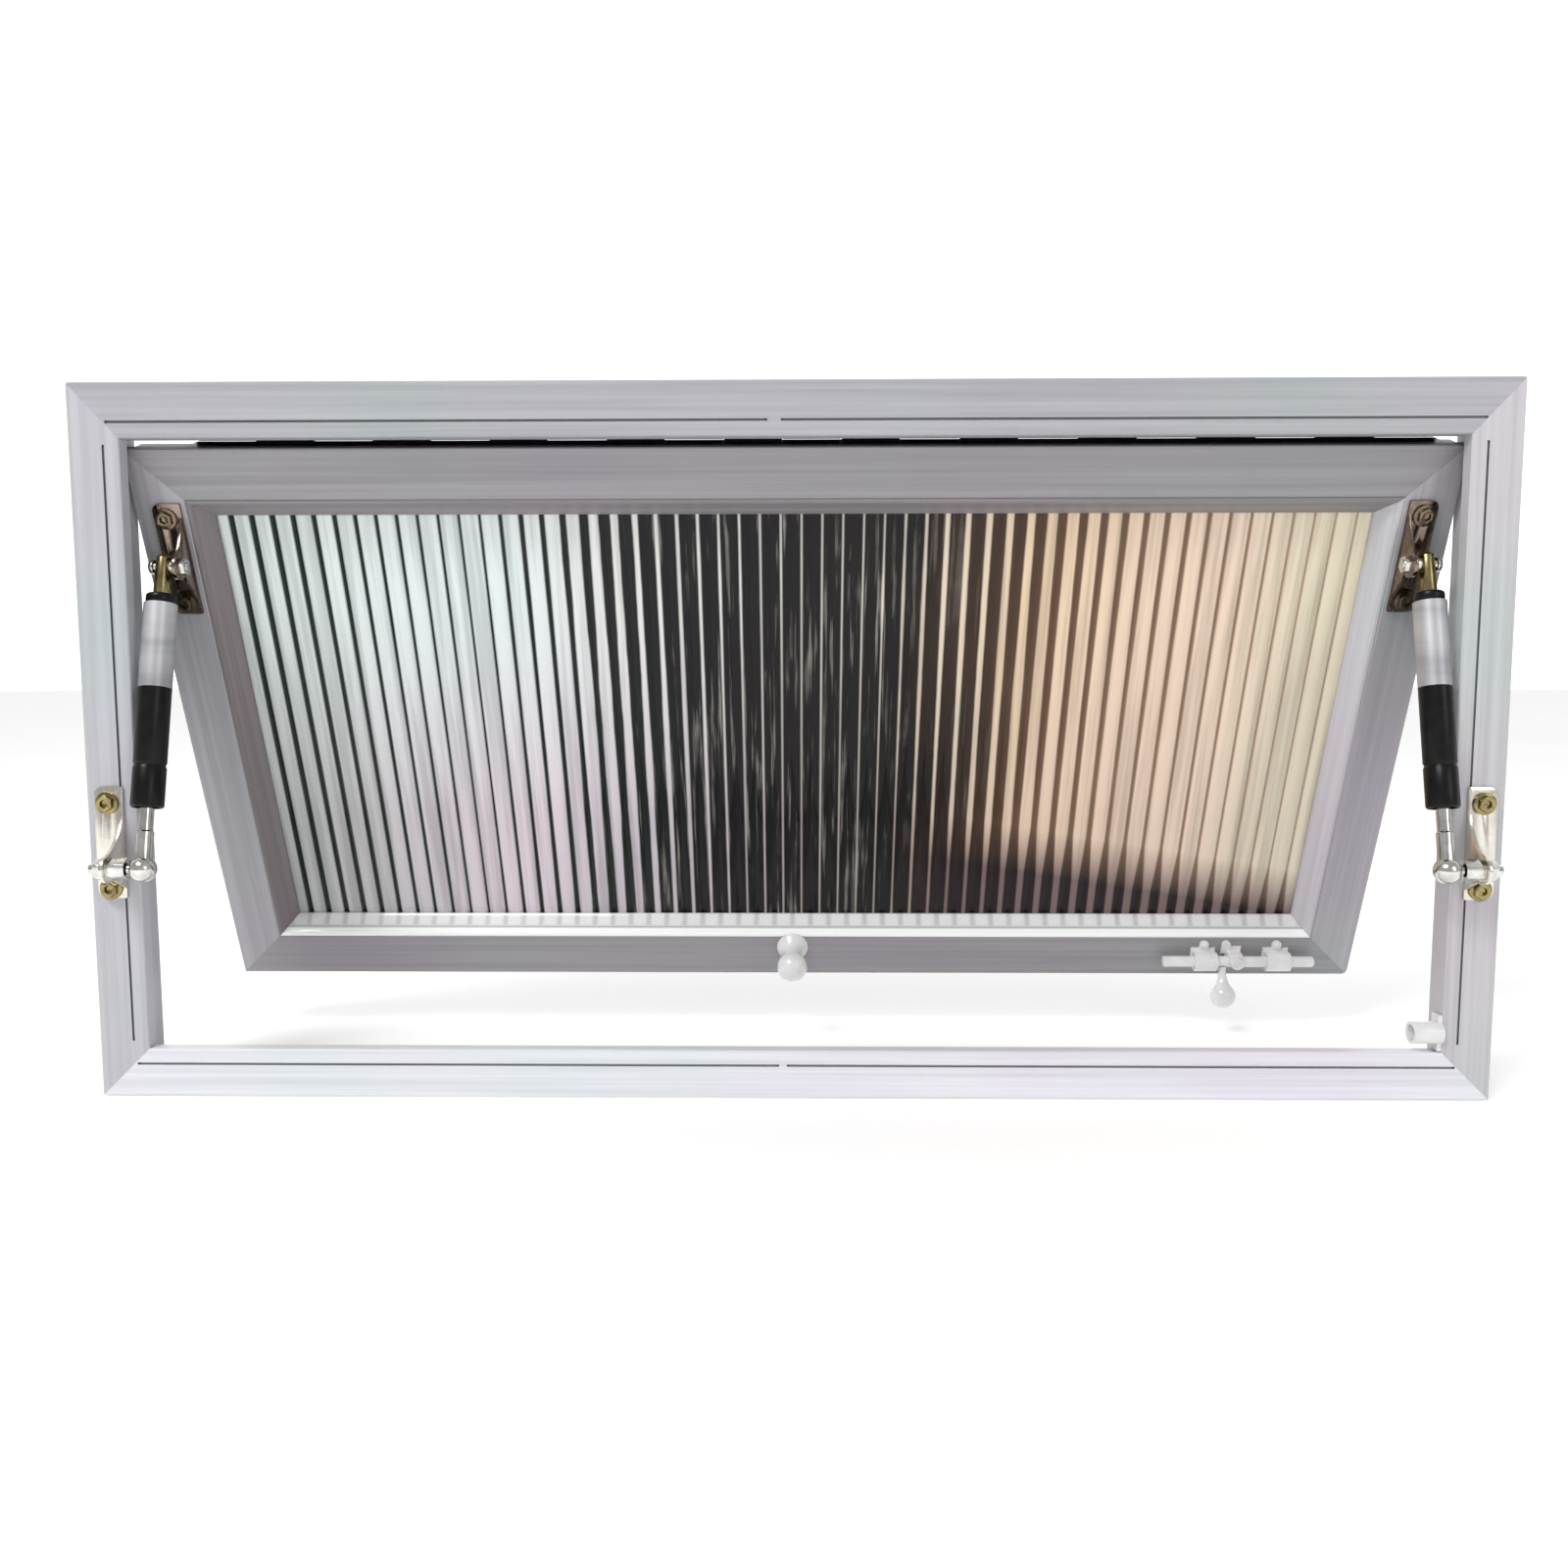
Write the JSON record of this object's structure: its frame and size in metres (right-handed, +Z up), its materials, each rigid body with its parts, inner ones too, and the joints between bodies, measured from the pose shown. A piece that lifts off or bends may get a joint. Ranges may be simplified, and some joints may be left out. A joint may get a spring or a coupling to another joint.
{
  "type": "window_sash",
  "caption": "Top-hung outward-opening window: white aluminium frame and reeded-glass sash on a long hinge, held by gas struts, with a pull knob and a sliding bolt.",
  "frame": {"origin": "centre of the underside of the sill", "axes": "+X to the right seen from indoors, +Y outdoors, +Z up"},
  "size_m": [1, 0.2377, 0.5057],
  "materials": {
    "white_paint": "satin",
    "hardware_white": "gloss",
    "seal_rubber": "matte",
    "reeded_glass": "reeded",
    "polished_steel": "polished",
    "yellow_zinc": "plated",
    "black_enamel": "satin"
  },
  "bodies": {
    "frame": {"frame_head": "white_paint", "frame_sill": "white_paint", "frame_jamb_left": "white_paint", "frame_jamb_right": "white_paint", "frame_seal": "seal_rubber", "bolt_keeper": "hardware_white", "hinge_leaf_frame": "black_enamel", "hinge_pin": "black_enamel", "lower_bracket_left": "polished_steel", "lower_screw_left_1": "yellow_zinc", "lower_screw_left_2": "yellow_zinc", "ball_stud_left": "polished_steel", "ball_stud_nut_left": "polished_steel", "lower_bracket_right": "polished_steel", "lower_screw_right_1": "yellow_zinc", "lower_screw_right_2": "yellow_zinc", "ball_stud_right": "polished_steel", "ball_stud_nut_right": "polished_steel"},
    "sash": {"sash_rail_top": "white_paint", "sash_rail_bottom": "white_paint", "sash_stile_left": "white_paint", "sash_stile_right": "white_paint", "glazing_bead_top": "white_paint", "glazing_bead_bottom": "white_paint", "glazing_bead_left": "white_paint", "glazing_bead_right": "white_paint", "glass_pane": "reeded_glass", "hinge_leaf_sash": "black_enamel", "pull_knob": "hardware_white", "bolt_sleeve_left": "hardware_white", "bolt_sleeve_right": "hardware_white", "bolt_catch": "hardware_white", "upper_bracket_left": "polished_steel", "upper_screw_left_1": "yellow_zinc", "upper_screw_left_2": "yellow_zinc", "pivot_bolt_left": "yellow_zinc", "pivot_nut_left": "polished_steel", "upper_bracket_right": "polished_steel", "upper_screw_right_1": "yellow_zinc", "upper_screw_right_2": "yellow_zinc", "pivot_bolt_right": "yellow_zinc", "pivot_nut_right": "polished_steel"},
    "bolt_rod": {"bolt_rod": "hardware_white"},
    "bolt_handle": {"bolt_handle": "hardware_white"},
    "strut_tube_left": {"strut_tube_left": "black_enamel", "strut_cap_left": "black_enamel", "strut_eye_left": "yellow_zinc"},
    "strut_rod_left": {"strut_rod_left": "polished_steel", "strut_socket_left": "polished_steel"},
    "strut_tube_right": {"strut_tube_right": "black_enamel", "strut_cap_right": "black_enamel", "strut_eye_right": "yellow_zinc"},
    "strut_rod_right": {"strut_rod_right": "polished_steel", "strut_socket_right": "polished_steel"}
  },
  "joints": [
    {"name": "sash_hinge", "type": "hinge", "parent": "frame", "child": "sash", "pos_m": [0, 0.021, 0.477], "axis": [1, 0, 0], "range_deg": [-12, 38.8]},
    {"name": "strut_rod_left_pivot", "type": "hinge", "parent": "frame", "child": "strut_rod_left", "pos_m": [-0.45, -0.049, 0.1705], "axis": [-1, 0, 0], "range_deg": [-4.7, 15.09]},
    {"name": "strut_tube_left_pivot", "type": "hinge", "parent": "sash", "child": "strut_tube_left", "pos_m": [-0.45, 0.00016, 0.38139], "axis": [-1, 0, 0], "range_deg": [-16.7, 53.88]},
    {"name": "strut_rod_right_pivot", "type": "hinge", "parent": "frame", "child": "strut_rod_right", "pos_m": [0.45, -0.049, 0.1705], "axis": [-1, 0, 0], "range_deg": [-4.7, 15.09]},
    {"name": "strut_tube_right_pivot", "type": "hinge", "parent": "sash", "child": "strut_tube_right", "pos_m": [0.45, 0.00016, 0.38139], "axis": [-1, 0, 0], "range_deg": [-16.7, 53.88]},
    {"name": "bolt_slide", "type": "slide", "parent": "sash", "child": "bolt_rod", "axis": [1, 0, 0], "range_m": [0, 0.025]},
    {"name": "handle_turn", "type": "hinge", "parent": "bolt_rod", "child": "bolt_handle", "pos_m": [0.36, 0.13591, 0.06239], "axis": [-1, 0, 0], "range_deg": [0, 100]}
  ],
  "couplings": [
    {"joint": "strut_rod_left_pivot", "follows": "sash_hinge", "ratio": 0.3875},
    {"joint": "strut_tube_left_pivot", "follows": "sash_hinge", "ratio": 1.3875},
    {"joint": "strut_rod_right_pivot", "follows": "sash_hinge", "ratio": 0.3875},
    {"joint": "strut_tube_right_pivot", "follows": "sash_hinge", "ratio": 1.3875}
  ]
}
